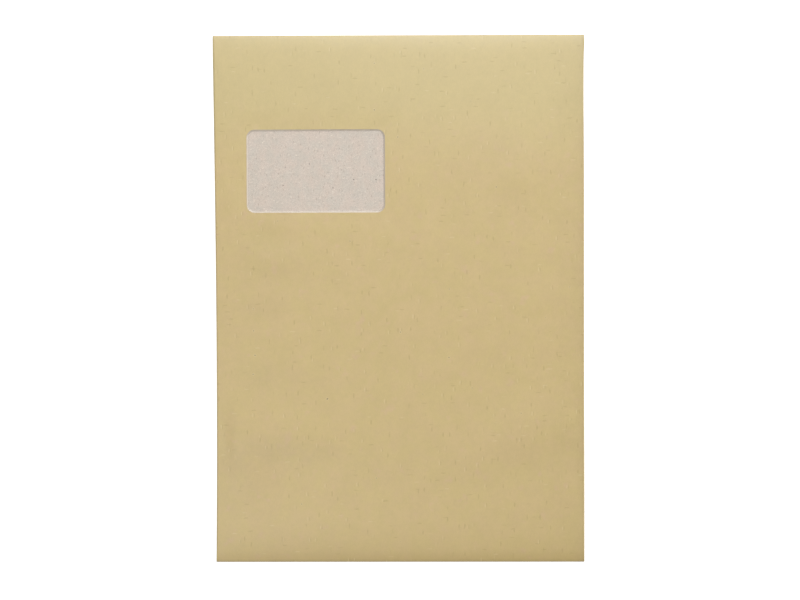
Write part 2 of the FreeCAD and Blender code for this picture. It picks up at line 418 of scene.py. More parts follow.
@dataclass(frozen=True)
class Band:
    """A change along an edge of a piece, from none at the start to the amount at the end."""

    axis: str
    start: float
    end: float
    amount: float

    def value(self, graph: Graph) -> Socket:
        """The change in a piece's node tree."""
        return graph.span(graph.axis(self.axis), self.start, self.end, 0, self.amount)


@dataclass(frozen=True)
class Marks:
    """Scattered small marks, at most one in each cell of a loose grid.

    The share of cells that hold a mark, the strength of the marks' colour and how far they are
    raised run from 0 to 1. The stretch is under 1 along their length. Their outlines wander.
    """

    cell: float
    radius: float
    share: float
    color: Color
    strength: float = 1.0
    raised: float = 0.0
    stretch: Triple = (1, 1, 1)
    turn: float = 0
    shift: Triple = (0, 0, 0)
    wander: float = 1.0
    wander_scale: float = 0.55
    core: float = 0.4
    strengths: Range = (-0.1, 1.0, 0.1, 1.0)

    def value(self, graph: Graph) -> Socket:
        """Where the marks lie.

        Args:
            graph: The piece's node tree.

        Returns:
            A value of up to 1 in a mark, a different one in each, and 0 outside.
        """
        wander = graph.node("ShaderNodeTexNoise", noise_dimensions="2D")
        graph.feed(wander, "Vector", graph.place())
        graph.feed(wander, "Scale", self.wander_scale)
        moved = graph.node("ShaderNodeVectorMath", operation="MULTIPLY_ADD")
        graph.feed(moved, 0, wander.outputs["Color"])
        graph.feed(moved, 1, (self.wander, self.wander, 0))
        graph.feed(moved, 2, graph.place(self.stretch, self.turn, self.shift))
        cells = graph.node("ShaderNodeTexVoronoi", voronoi_dimensions="2D", feature="F1")
        graph.feed(cells, "Vector", moved.outputs[0])
        graph.feed(cells, "Scale", 1 / self.cell)
        edge = self.radius / self.cell
        mark = graph.span(cells.outputs["Distance"], edge, self.core * edge)
        draw = graph.node("ShaderNodeSeparateColor")
        graph.feed(draw, 0, cells.outputs["Color"])
        chosen = graph.calc("LESS_THAN", draw.outputs[0], self.share)
        strength = graph.span(draw.outputs[1], *self.strengths)
        return graph.times(mark, graph.times(chosen, strength))


def lay_marks(
    graph: Graph, color: object, marks: tuple[Marks, ...]
) -> tuple[Socket, list[Socket]]:
    """Lays marks over a colour, one kind after another.

    Args:
        graph: The piece's node tree.
        color: The colour below.
        marks: The kinds of mark.

    Returns:
        The colour with the marks on it, and the heights of the kinds that are raised.
    """
    heights = []
    for kind in marks:
        value = kind.value(graph)
        color = graph.mix(graph.times(value, kind.strength), color, kind.color)
        if kind.raised:
            heights.append(graph.times(value, kind.raised))
    return color, heights


@dataclass(frozen=True)
class PaintedShadePatch:
    """A broad, faint patch of painted shade on the front, for the slow shading of the loose paper.
    """

    x: float
    y: float
    wide: float
    tall: float
    depth: float

    def value(self, graph: Graph, broken: Socket) -> Socket:
        """How much light the patch's painted shade takes away.

        Args:
            graph: The sheet's node tree.
            broken: A cloudy value of 0 to 1 that breaks the patch up.

        Returns:
            The share of light lost, 0 outside the patch.
        """
        shift = (-self.x / self.wide, -self.y / self.tall, 0)
        reach = graph.node("ShaderNodeVectorMath", operation="LENGTH")
        graph.feed(reach, 0, graph.place((1 / self.wide, 1 / self.tall, 0), shift=shift))
        inside = graph.span(reach.outputs["Value"], 1, 0.1, 0, self.depth)
        return graph.times(inside, broken)


# Patches of painted shade on the front, where the loose paper is shaded.
PAINTED_SHADE_PATCHES = (
    PaintedShadePatch(x=-80, y=28, wide=34, tall=44, depth=0.04),
    PaintedShadePatch(x=-96, y=-108, wide=30, tall=36, depth=0.055),
    PaintedShadePatch(x=-84, y=-46, wide=26, tall=12, depth=0.04),
    PaintedShadePatch(x=-86, y=-6, wide=24, tall=10, depth=0.035),
    PaintedShadePatch(x=-72, y=-92, wide=40, tall=14, depth=0.06),
    PaintedShadePatch(x=58, y=76, wide=60, tall=42, depth=0.032),
    PaintedShadePatch(x=92, y=-92, wide=40, tall=30, depth=0.03),
)


@dataclass(frozen=True)
class ManilaPaper:
    """Machine-smoothed manila paper: cloudy, with single fibres and small knots in its surface.

    It has painted light: a slightly lighter, greener tint towards the top. It is darker and browner
    along the bottom, partly from browning and partly as painted shade. The right margin and the
    right fold's slope are painted darker as shade, and the right, bottom and left folds carry
    painted shade along their rounding, as do broad patches of painted shade on the front.
    """

    olive: Color = from_screen(200, 178, 122)
    tan: Color = from_screen(201, 177, 125)
    pink: Color = from_screen(203, 176, 130)
    # The top's tint of painted light, and the brown of the bottom's browning and painted shade.
    top_light_tint: Color = from_screen(198, 180, 125)
    brown_and_shade: Color = from_screen(165, 140, 78)
    # The dark fibres' colour, which also paints the pale fibres' shadows.
    dark_fibre_and_shadow: Color = from_screen(160, 136, 82)
    pale_fibre: Color = from_screen(226, 210, 166)
    knot: Color = from_screen(128, 104, 66)
    clouds: Texture = Texture(0.03, rough=0.55)
    clouds_weight: float = 0.4
    mottle: Texture = Texture(0.13, detail=2, rough=0.5)
    mottle_weight: float = 0.6
    tan_span: Range = (0.38, 0.62)
    blotch: Texture = Texture(0.11, detail=2, shift=(37, 11, 0))
    pink_span: Range = (0.6, 0.76)
    formation: Texture = Texture(0.3)
    formation_shade: Range = (0.25, 0.75, -0.02, 0.02)
    grain: Texture = Texture(1.1, detail=4, rough=0.7)
    grain_shade: Range = (0.2, 0.8, -0.02, 0.02)
    grain_height: float = 0.25
    drift: Texture = Texture(0.07, detail=2, rough=0.5)
    drift_shade: Range = (0.3, 0.7, -0.012, 0.012)
    upright: Texture = Texture(0.9, stretch=(2.0, 0.5, 1))
    upright_shade: Range = (0.3, 0.7, -0.015, 0.015)
    lying: Texture = Texture(0.8, stretch=(0.4, 2.0, 1))
    lying_height: float = 0.6
    breaks: Texture = Texture(0.05)
    breaks_span: Range = (0.3, 0.65, 0.35, 1)
    roughness: Range = (0.2, 0.8, 0.32, 0.41)
    specular: float = 0.9
    relief: float = 0.028
    # Painted light towards the top; towards the bottom, browning together with painted shade.
    painted_top_light: Band = Band("Y", 75, 130, 0.8)
    browned_and_shaded: tuple[Band, ...] = (Band("Y", -134, -161, 0.2), Band("Y", -153, -161.5, 0.24))
    # Painted shade: darker across the right margin and the right fold's slope, and along the
    # rounding of the right, bottom and left folds.
    painted_edge_shade: tuple[Band, ...] = (
        Band("X", 90, 105, 0.025),
        Band("X", 106, 112, 0.03),
        Band("X", 111.8, 113.2, 0.06),
        Band("Y", -160.2, -161.6, 0.13),
        Band("X", -112, -113, 0.06),
    )
    marks: tuple[Marks, ...] = (
        # Dark fibres, upright and lying.
        Marks(6.0, 0.9, 0.27, dark_fibre_and_shadow, 0.36, -0.4, (1.6, 0.45, 1), 7),
        Marks(7.5, 0.85, 0.32, dark_fibre_and_shadow, 0.31, 0, (0.42, 1.7, 1), -3),
        # Upright pale fibres, each with a painted shadow beside it, and lying ones.
        Marks(6.2, 0.8, 0.22, dark_fibre_and_shadow, 0.24, 0, (1.6, 0.45, 1), -9, shift=(-1.3, 0.2, 0)),
        Marks(6.2, 0.8, 0.22, pale_fibre, 0.26, 0.5, (1.6, 0.45, 1), -9),
        Marks(8.5, 0.8, 0.24, pale_fibre, 0.24, 0.5, (0.42, 1.7, 1), 4),
        # Knots, each in a pale halo.
        Marks(15, 1.1, 0.12, pale_fibre, 0.3, 0.5),
        Marks(15, 0.5, 0.12, knot, 0.8),
    )

    def material(self) -> bpy.types.Material:
        """Builds the node material.

        Returns:
            The finish of the folded sheet.
        """
        graph = Graph(bpy.data.materials.new("manila_finish"))
        formation, grain = self.formation.value(graph), self.grain.value(graph)
        upright = self.upright.value(graph)
        light = graph.total(
            1.0,
            graph.span(formation, *self.formation_shade),
            graph.span(grain, *self.grain_shade),
            graph.span(self.drift.value(graph), *self.drift_shade),
            graph.span(upright, *self.upright_shade),
        )
        # Painted shade along the edges and folds and in broad patches.
        light = graph.calc("SUBTRACT", light, self.painted_shading(graph))
        color, heights = lay_marks(graph, graph.dim(self.tinted(graph), light), self.marks)
        lying = graph.times(self.lying.value(graph), self.lying_height)
        height = graph.total(graph.times(grain, self.grain_height), upright, lying, *heights)
        return graph.finish(
            Base_Color=color,
            Roughness=graph.span(formation, *self.roughness),
            Specular_IOR_Level=self.specular,
            Normal=graph.bump(height, self.relief),
        )

    def tinted(self, graph: Graph) -> Socket:
        """The paper's slowly changing colour, without fibres.

        Args:
            graph: The sheet's node tree.

        Returns:
            The colour.
        """
        clouds = graph.times(self.clouds.value(graph), self.clouds_weight)
        mottle = graph.times(self.mottle.value(graph), self.mottle_weight)
        tan = graph.span(graph.total(clouds, mottle), *self.tan_span)
        tint = graph.mix(tan, self.olive, self.tan)
        tint = graph.mix(graph.span(self.blotch.value(graph), *self.pink_span), tint, self.pink)
        # Painted light: a lighter, greener tint towards the top.
        tint = graph.mix(self.painted_top_light.value(graph), tint, self.top_light_tint)
        # Darker and browner towards the bottom, partly browning and partly painted shade.
        browned_and_shaded = graph.total(*[band.value(graph) for band in self.browned_and_shaded])
        return graph.mix(browned_and_shaded, tint, self.brown_and_shade)

    def painted_shading(self, graph: Graph) -> Socket:
        """The share of light taken away by painted shade at the edges, the folds and the shade
        patches.

        Args:
            graph: The sheet's node tree.

        Returns:
            The share, 0 where no shade is painted.
        """
        broken = graph.span(self.breaks.value(graph), *self.breaks_span)
        painted_edge_shade = [band.value(graph) for band in self.painted_edge_shade]
        shade_patches = [shade_patch.value(graph, broken) for shade_patch in PAINTED_SHADE_PATCHES]
        return graph.total(*painted_edge_shade, *shade_patches)


@dataclass(frozen=True)
class ClearFilm:
    """Thin clear film with a faint haze, milky where it bends up to its glued flange.

    Haze and roughness run from their value at one level above the ground to that at another.
    """

    tint: Color = from_screen(228, 215, 198)
    haze: Range = (1.1, 1.42, 0.14, 0.6)
    roughness: Range = (1.1, 1.42, 0.28, 0.3)
    smear: Texture = Texture(0.12, rough=0.5, stretch=(1, 0.4, 1), turn=20)
    smear_haze: Range = (0.3, 0.7, -0.02, 0.02)
    smear_roughness: Range = (0.3, 0.7, -0.04, 0.06)
    ripple: Texture = Texture(0.08, detail=2, rough=0.4)
    specular: float = 1.0
    relief: float = 0.1

    def material(self) -> bpy.types.Material:
        """Builds the node material.

        Returns:
            The finish of the window's pane.
        """
        graph = Graph(bpy.data.materials.new("film_finish"))
        smear, level = self.smear.value(graph), graph.axis("Z")
        haze = (graph.span(level, *self.haze), graph.span(smear, *self.smear_haze))
        rough = (graph.span(level, *self.roughness), graph.span(smear, *self.smear_roughness))
        return graph.finish(
            Base_Color=self.tint,
            Roughness=graph.total(*rough),
            Alpha=graph.total(*haze),
            Specular_IOR_Level=self.specular,
            Normal=graph.bump(self.ripple.value(graph), self.relief),
        )


@dataclass(frozen=True)
class PlainFinish:
    """A finish in two near colours, blended by a soft noise, with marks on it.

    Where there is a grain, it shades the colours and makes the relief in place of the blend.
    """

    name: str
    body: Color
    other: Color
    blend: Texture
    roughness: Range
    relief: float
    specular: float = 0.5
    other_span: Range = (0.35, 0.65)
    grain: Texture | None = None
    grain_shade: Range = (0.25, 0.75, 0.87, 1.13)
    marks: tuple[Marks, ...] = ()

    def material(self) -> bpy.types.Material:
        """Builds the node material.

        Returns:
            The finish.
        """
        graph = Graph(bpy.data.materials.new(self.name))
        height = blend = self.blend.value(graph)
        color = graph.mix(graph.span(blend, *self.other_span), self.body, self.other)
        if self.grain:
            height = self.grain.value(graph)
            color = graph.dim(color, graph.span(height, *self.grain_shade))
        color, heights = lay_marks(graph, color, self.marks)
        return graph.finish(
            Base_Color=color,
            Roughness=graph.span(blend, *self.roughness),
            Specular_IOR_Level=self.specular,
            Normal=graph.bump(graph.total(height, *heights), self.relief),
        )


BOARD_DARK = from_screen(168, 155, 143)
BOARD_PALE = from_screen(240, 231, 219)
BOARD_INK = from_screen(104, 96, 94)
GREY_BOARD = PlainFinish(
    name="board_finish",
    body=from_screen(211, 204, 195),
    other=from_screen(218, 206, 196),
    blend=Texture(0.14, rough=0.55),
    roughness=(0.3, 0.7, 0.82, 0.95),
    relief=0.09,
    specular=0.3,
    grain=Texture(0.9, detail=5, rough=0.75),
    marks=(
        # Dark and pale fibres, pale flecks and flecks of print.
        Marks(2.4, 0.5, 0.5, BOARD_DARK, 0.65, 0, (1.3, 0.6, 1), 12),
        Marks(2.8, 0.55, 0.5, BOARD_PALE, 0.65, 0.5, (0.6, 1.2, 1), 20),
        Marks(7, 0.6, 0.5, BOARD_PALE),
        Marks(15, 0.6, 0.5, BOARD_INK),
    ),
)
DRIED_GLUE = PlainFinish(
    name="glue_finish",
    body=from_screen(232, 226, 208),
    other=from_screen(218, 208, 182),
    blend=Texture(0.5, stretch=(1, 0.2, 1)),
    roughness=(0.3, 0.7, 0.45, 0.65),
    relief=0.03,
)
STICKY_STRIP = PlainFinish(
    name="strip_finish",
    body=from_screen(233, 222, 188),
    other=from_screen(233, 222, 188),
    blend=Texture(0.4, stretch=(0.3, 1, 1)),
    roughness=(0.3, 0.7, 0.3, 0.5),
    relief=0.03,
    marks=(Marks(2.5, 0.6, 0.6, from_screen(243, 238, 218), raised=1.0),),
)
LINER_PAPER = PlainFinish(
    name="liner_finish",
    body=from_screen(240, 241, 240),
    other=from_screen(229, 231, 232),
    blend=Texture(0.8, stretch=(0.4, 1.6, 1)),
    roughness=(0.3, 0.7, 0.28, 0.4),
    relief=0.02,
)


@dataclass(frozen=True)
class Wave:
    """A gentle waviness of a sheet, the same in each run."""

    height: float
    length_x: float
    length_y: float
    layer: float

    def rise(self, x: float, y: float) -> float:
        """How far the sheet stands up or sinks at a place."""
        return noise.noise(Vector((x / self.length_x, y / self.length_y, self.layer))) * self.height


@dataclass(frozen=True)
class Pucker:
    """A low swelling in the front paper, long along its own first axis.

    Its lower side falls within the breadth, and its upper side, times the lead, more gently.
    """

    x: float
    y: float
    length: float
    breadth: float
    height: float
    turn: float = 0
    lead: float = 2.2

    def rise(self, x: float, y: float) -> float:
        """How far the paper stands up at a place because of this swelling."""
        angle = math.radians(self.turn)
        along = (x - self.x) * math.cos(angle) + (y - self.y) * math.sin(angle)
        across = (y - self.y) * math.cos(angle) - (x - self.x) * math.sin(angle)
        spread = self.breadth * self.lead if across > 0 else self.breadth
        return self.height * hump(along, self.length) * hump(across, spread)


@dataclass(frozen=True)
class SideFold:
    """How one side fold of the real sheet departs from a straight crease.

    Each dip is a place along the side, how far it spreads and how deep it draws the fold in.
    """

    rise: float
    draw: float
    dips: tuple[Triple, ...]
    waist: float = 0
    waist_center: float = -15
    waist_half: float = 172

    def inward(self, y: float) -> float:
        """How far the fold is drawn in at a place along the side."""
        share = max(1 - ((y - self.waist_center) / self.waist_half) ** 2, 0)
        return self.draw + self.waist * share + sum(
            depth * hump(y - place, spread) for place, spread, depth in self.dips
        )


@dataclass(frozen=True)
class EndFold:
    """How the front falls to one end fold, and how far the fold stands out."""

    fall: float
    reach: float
    push: float
    lean: float = 0

    def outward(self, share: float) -> float:
        """How far the fold stands out at a place across, from -1 at the left to 1."""
        return self.push - self.lean * share


SIDE_FOLDS = {
    Side.LEFT: SideFold(
        rise=0.12, draw=0.4, waist=1.1, dips=((-85, 85, 0.33), (160, 7, 0.12))
    ),
    Side.RIGHT: SideFold(
        rise=0.55, draw=0.49, dips=((128, 22, 0.28), (158, 4, -0.3), (-130, 45, -0.18))
    ),
}
END_FOLDS = {
    End.BOTTOM: EndFold(fall=0.75, reach=7.0, push=0.1),
    End.TOP: EndFold(fall=0.42, reach=5.0, push=0.5, lean=0.17),
}
PUCKERS = (
    Pucker(x=-74, y=56, length=16, breadth=7, height=1.1, lead=1.0),
    Pucker(x=-80, y=24, length=17, breadth=5, height=0.62, lead=1.7),
    Pucker(x=-83, y=-1, length=14, breadth=5, height=0.42, turn=-4),
    Pucker(x=-78, y=-22, length=14, breadth=5, height=0.2, turn=8),
    Pucker(x=-80, y=-40, length=16, breadth=5, height=0.34, turn=-5),
    Pucker(x=-70, y=-86, length=24, breadth=7, height=1.25, turn=-4, lead=1.8),
    Pucker(x=-96, y=-104, length=9, breadth=12, height=0.75, turn=10),
    Pucker(x=-52, y=-138, length=40, breadth=15, height=0.5, lead=1.0),
    Pucker(x=75, y=75, length=12, breadth=6, height=0.28, turn=-8, lead=3.0),
    Pucker(x=84, y=-3, length=13, breadth=5, height=0.26, turn=10),
    Pucker(x=84, y=-26, length=13, breadth=5, height=0.26, turn=6),
    Pucker(x=85, y=-45, length=12, breadth=5, height=0.22, turn=-6),
    Pucker(x=84, y=-82, length=26, breadth=10, height=1.15, turn=16, lead=1.6),
    Pucker(x=98, y=-116, length=14, breadth=12, height=0.5, turn=30, lead=1.0),
    Pucker(x=-30, y=-60, length=70, breadth=28, height=0.2, turn=-30, lead=1.0),
    Pucker(x=40, y=70, length=60, breadth=40, height=0.2, turn=20, lead=1.0),
)


@dataclass
class WindowOutline:
    """The window's round-cornered outline, found from the pane's flange in the frame."""

    overlap: float = 6.0
    radius: float = 5.0
    left: float = field(init=False)
    right: float = field(init=False)
    low: float = field(init=False)
    high: float = field(init=False)

    def __post_init__(self) -> None:
        """Works the hole's edges out from the flange, which is wider all round."""
        corner_low, corner_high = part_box("window_film")
        self.left = corner_low[0] / MM + self.overlap
        self.right = corner_high[0] / MM - self.overlap
        self.low = corner_low[1] / MM + self.overlap
        self.high = corner_high[1] / MM - self.overlap

    def ring(self, growth: float, steps: int, spacing: float) -> list[tuple[float, float]]:
        """Points round the outline, grown outwards.

        Args:
            growth: How far outside the hole's edge the ring runs.
            steps: Steps in each corner's quarter turn.
            spacing: The longest step along the straight sides of the hole itself.

        Returns:
            Points, counter-clockwise, the same number for every growth.
        """
        reach = self.radius + growth
        left, right = self.left + self.radius, self.right - self.radius
        low, high = self.low + self.radius, self.high - self.radius
        wide = max(1, math.ceil((right - left) / spacing))
        tall = max(1, math.ceil((high - low) / spacing))
        arcs = []
        for x, y, start in ((right, low, -90), (right, high, 0), (left, high, 90), (left, low, 180)):
            turns = [math.radians(start + 90 * step / steps) for step in range(steps + 1)]
            arcs.append([(x + reach * math.cos(turn), y + reach * math.sin(turn)) for turn in turns])
        points = []
        for arc, after, count in zip(arcs, arcs[1:] + arcs[:1], (tall, wide, tall, wide)):
            (from_x, from_y), (to_x, to_y) = arc[-1], after[0]
            points += arc
            for step in range(1, count):
                share = step / count
                points.append((from_x + (to_x - from_x) * share, from_y + (to_y - from_y) * share))
        return points

    def center(self) -> tuple[float, float]:
        """The middle of the hole."""
        return (self.left + self.right) / 2, (self.low + self.high) / 2

    def gap(self, x: float, y: float) -> float:
        """How far a place is from the hole's rectangle, 0 inside it."""
        return max(self.left - x, x - self.right, self.low - y, y - self.high, 0)

    def holds(self, x: float, y: float) -> bool:
        """Whether a place is inside the hole's rectangle."""
        return self.left < x < self.right and self.low < y < self.high

    def round_corner(self, x: float, y: float, reach: float) -> tuple[float, float]:
        """Draws grid points near a corner in, so that the grid's square corner turns round.

        Args:
            x: A grid point's place.
            y: A grid point's place.
            reach: How far from the hole the pull is felt.

        Returns:
            The place that the point moves to.
        """
        edge_x = min(max(x, self.left), self.right)
        edge_y = min(max(y, self.low), self.high)
        side_x = -1 if edge_x - self.left < self.right - edge_x else 1
        side_y = -1 if edge_y - self.low < self.high - edge_y else 1
        corner_x = self.left if side_x < 0 else self.right
        corner_y = self.low if side_y < 0 else self.high
        from_corner = max(abs(edge_x - corner_x), abs(edge_y - corner_y))
        pull = 1 - self.gap(x, y) / reach
        if from_corner >= self.radius or pull <= 0:
            return x, y
        along_x = abs(edge_x - corner_x) > abs(edge_y - corner_y)
        turn = math.radians(45 * from_corner / self.radius)
        angle = math.radians(45) + turn if along_x else math.radians(45) - turn
        goal_x = corner_x - side_x * self.radius * (1 - math.cos(angle))
        goal_y = corner_y - side_y * self.radius * (1 - math.sin(angle))
        share = ease(pull)
        return x + (goal_x - edge_x) * share, y + (goal_y - edge_y) * share


@dataclass
class PaperSheet:
    """The folded sheet: front with its window, side seams, bottom flap and closing flap.

    The front is a height over a fine grid. It is level in the middle, rises in a band along each
    side fold and falls away at both ends. The lower halves of the folds and the flaps grow from
    the front's rim. Puckers and waves fade out at the still rim and are weaker by the window.
    """

    window: WindowOutline
    thickness: float = 0.15
    board_half: float = 0.3
    seam_width: float = 17.0
    seam_taper: float = 6.0
    seam_low_gap: float = 1.0
    seam_high_gap: float = 8.0
    seam_blunt: float = 0.06
    seam_least_radii: float = 1.6
    seam_steps: int = 9
    flap_inset: float = 1.0
    bottom_depth: float = 22.0
    bottom_taper: float = 8.0
    closing_depth: float = 40.0
    closing_radius: float = 8.0
    closing_steps: int = 9
    pull_width: float = 20.0
    pull_share: float = 0.1
    corner_pull: float = 5.5
    crest_blend: float = 0.05
    corner_blend: float = 0.16
    still_rim: float = 1.5
    still_reach: float = 12.0
    window_calm: float = 0.25
    window_reach: float = 14.0
    loft: float = 0.1
    loft_reach: float = 12.0
    slow: Wave = Wave(0.09, 55, 70, 3.1)
    cockle: Wave = Wave(0.012, 9, 12, 7.7)
    cockle_reach: float = 4.0
    fine: float = 0.8
    medium: float = 1.1
    coarse: float = 2.2
    flap_step: float = 1.6
    bottom_band: float = 20.0
    top_band: float = 18.0
    arc_steps: int = 6
    surface: Surface = field(default_factory=Surface)
    numbers: dict[tuple[int, int], int] = field(default_factory=dict)

    def __post_init__(self) -> None:
        """Takes the outline and the levels from the frame's solids, and lays the grid out."""
        low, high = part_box("paper_sheet")
        board_low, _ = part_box("back_board")
        seam_glue_low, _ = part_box("seam_glue_left")
        _, ring_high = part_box("window_glue")
        self.half_width = (high[0] - low[0]) / 2 / MM
        self.half_height = (high[1] - low[1]) / 2 / MM
        self.middle = board_low[2] / MM + self.board_half
        self.panel_top = ring_high[2] / MM + self.thickness + self.loft
        self.seam_level = seam_glue_low[2] / MM - self.thickness
        self.seam_low = self.seam_low_gap - self.half_height
        self.seam_high = self.half_height - self.seam_high_gap
        self.flap_fold = self.half_width - self.flap_inset
        self.closing_corner = self.half_height - self.closing_depth + self.closing_radius
        self.columns = self.place_columns()
        self.rows = self.place_rows()

    def side_arc(self, side: Side) -> float:
        """Radius of the upper half of a side fold."""
        return self.panel_top + SIDE_FOLDS[side].rise - self.middle

    def end_arc(self, end: End) -> float:
        """Radius of the upper half of an end fold."""
        return self.panel_top - END_FOLDS[end].fall - self.middle

    def round_fold(self, off: float, radius: float) -> float:
        """Height on the upper half of a fold, at a distance past its crest."""
        return self.middle + math.sqrt(max(radius**2 - off**2, 0))

    def across_height(self, x: float) -> float:
        """The front's height on a cut across the width, with the bands beside the folds.

        Args:
            x: Place across.

        Returns:
            The height.
        """
        side = Side.RIGHT if x > 0 else Side.LEFT
        off, arc = abs(x), self.side_arc(side)
        crest = self.half_width - arc
        if off >= crest:
            return self.round_fold(off - crest, arc)
        band = crest - (self.half_width - self.seam_width)
        sloping = self.panel_top + SIDE_FOLDS[side].rise * (1 - (crest - off) / band)
        return soft_max(sloping, self.panel_top, self.crest_blend)

    def along_height(self, y: float) -> float:
        """The front's height on a cut along the envelope, falling towards both ends.

        Args:
            y: Place along.

        Returns:
            The height.
        """
        end = End.TOP if y > 0 else End.BOTTOM
        off, arc, fold = abs(y), self.end_arc(end), END_FOLDS[end]
        start = self.half_height - arc
        if off >= start:
            return self.round_fold(off - start, arc)
        return self.panel_top - fold.fall * math.exp((off - start) / fold.reach)

    def relief(self, x: float, y: float) -> float:
        """The small swellings of the loose front paper, none at the folds or the window.

        Args:
            x: Place across.
            y: Place along.

        Returns:
            How far the paper stands above the plain form.
        """
        edge = min(self.half_width - abs(x), self.half_height - abs(y))
        gap = self.window.gap(x, y)
        free = self.window_calm + (1 - self.window_calm) * ease(gap / self.window_reach)
        swell = sum(pucker.rise(x, y) for pucker in PUCKERS) + self.slow.rise(x, y)
        cockle = self.cockle.rise(x, y) * ease(edge / self.cockle_reach)
        sunk = self.loft * (1 - ease(gap / self.loft_reach))
        return ease((edge - self.still_rim) / self.still_reach) * free * swell + cockle - sunk

    def front_height(self, x: float, y: float) -> float:
        """The height of the front's outer face at a place."""
        across = self.across_height(x)
        along = self.along_height(y)
        blend = min(self.corner_blend, (across - self.middle) / 2, (along - self.middle) / 2)
        return soft_min(across, along, blend) + self.relief(x, y)

    def settle(self, x: float, y: float, z: float) -> Vector:
        """Moves a point from the nominal outline to where the real paper's edges lie.

        Args:
            x: Place across.
            y: Place along.
            z: Height, kept as it is.

        Returns:
            The moved point.
        """
        side = Side.RIGHT if x > 0 else Side.LEFT
        end = End.TOP if y > 0 else End.BOTTOM
        pull_height = self.pull_share * self.half_height
        share = ease((abs(x) - self.half_width + self.pull_width) / self.pull_width)
        out = ease((abs(y) - self.half_height + pull_height) / pull_height)
        drawn = x - side.value * share * SIDE_FOLDS[side].inward(y)
        pushed = y + end.value * out * END_FOLDS[end].outward(x / self.half_width)
        return Vector((drawn, pushed, z))

    def quarter_turns(self) -> list[float]:
        """The angles of a fold's grid places, evenly spread over a quarter turn."""
        return [math.radians(90 * step / self.arc_steps) for step in range(1, self.arc_steps + 1)]

    def upper_arc(self, edge: float, radius: float) -> list[float]:
        """Places on the upper half of a fold, from its crest to the edge."""
        return [edge - radius * (1 - math.sin(turn)) for turn in self.quarter_turns()]

    def lower_arc(self, edge: float, radius: float) -> list[tuple[float, float]]:
        """Places and heights on the lower half of a fold, from the edge inwards."""
        return [
            (edge - radius * (1 - math.cos(turn)), self.middle - radius * math.sin(turn))
            for turn in self.quarter_turns()
        ]

    def place_columns(self) -> list[float]:
        """Grid places across the front, close together at the folds and the window's sides."""
        left, right = self.side_arc(Side.LEFT), self.side_arc(Side.RIGHT)
        window, near = self.window, self.window.radius + 1
        inner = spaced([
            (left - self.half_width, self.medium),
            (window.left - 1, self.fine),
            (window.left, self.fine),
            (window.left + near, self.coarse),
            (window.right - near, self.fine),
            (window.right, self.fine),
            (window.right + 1, self.coarse),
            (self.half_width - self.seam_width, self.medium),
            (self.half_width - right, 0),
        ])
        low = [-x for x in reversed(self.upper_arc(self.half_width, left))]
        return low + inner + self.upper_arc(self.half_width, right)

    def place_rows(self) -> list[float]:
        """Grid places along the front, close together at the ends and the window's edges."""
        bottom, top = self.end_arc(End.BOTTOM), self.end_arc(End.TOP)
        window, near = self.window, self.window.radius + 1
        inner = spaced([
            (bottom - self.half_height, self.fine),
            (self.seam_low, self.fine),
            (self.seam_low + self.seam_taper, self.medium),
            (self.bottom_band - self.half_height, self.coarse),
            (window.low - 1, self.fine),
            (window.low, self.fine),
            (window.low + near, self.coarse),
            (window.high - near, self.fine),
            (window.high, self.fine),
            (window.high + 1, self.coarse),
            (self.half_height - self.top_band, self.medium),
            (self.seam_high - self.seam_taper, self.fine),
            (self.seam_high, self.fine),
            (self.half_height - top, 0),
        ])
        low = [-y for y in reversed(self.upper_arc(self.half_height, bottom))]
        return low + inner + self.upper_arc(self.half_height, top)

    def front(self) -> None:
        """Adds the front with its hole, and notes its points' numbers by column and row."""
        for row, y in enumerate(self.rows):
            for column, x in enumerate(self.columns):
                if self.window.holds(x, y):
                    continue
                near_x, near_y = self.window.round_corner(x, y, self.corner_pull)
                point = self.settle(near_x, near_y, self.front_height(x, y))
                self.numbers[column, row] = self.surface.add(point)
        for row, (low, high) in enumerate(zip(self.rows, self.rows[1:])):
            for column, (left, right) in enumerate(zip(self.columns, self.columns[1:])):
                if self.window.holds((left + right) / 2, (low + high) / 2):
                    continue
                around = ((0, 0), (1, 0), (1, 1), (0, 1))
                corners = [self.numbers[column + over, row + up] for over, up in around]
                self.surface.faces.append(tuple(corners))

    def seam(self, side: Side) -> None:
        """Adds the lower half of one side fold and its seam, with tapered ends.

        Args:
            side: Which side.
        """
        column = 0 if side is Side.LEFT else len(self.columns) - 1
        radius = self.middle - self.seam_level
        strips = []
        for row, y in enumerate(self.rows):
            to_end = min(y - self.seam_low, self.seam_high - y)
            if to_end < -HAIR:
                continue
            reach = max(min(1, to_end / self.seam_taper), self.seam_blunt)
            flat = max(self.seam_width * reach, self.seam_least_radii * radius) - radius
            strip = [
                self.settle(side.value * x, y, level)
                for x, level in self.lower_arc(self.half_width, radius)
            ]
            start = self.settle(side.value * (self.half_width - radius), y, self.seam_level)
            for step in range(1, self.seam_steps + 1):
                inwards = Vector((side.value * flat * step / self.seam_steps, 0, 0))
                strip.append(start - inwards)
            strips.append((self.numbers[column, row], strip))
        self.surface.weave(strips)

    def flap_half(self, end: End, y: float) -> float:
        """Half the width of an end's flap at a distance from the middle of the envelope.

        Args:
            end: Which end.
            y: The distance.

        Returns:
            Half the width there.
        """
        if end is End.BOTTOM:
            return self.flap_fold - self.bottom_taper * (self.half_height - y) / self.bottom_depth
        if y >= self.closing_corner:
            return self.flap_fold
        rest = max(self.closing_radius**2 - (self.closing_corner - y) ** 2, 0)
        return self.flap_fold - self.closing_radius + math.sqrt(rest)

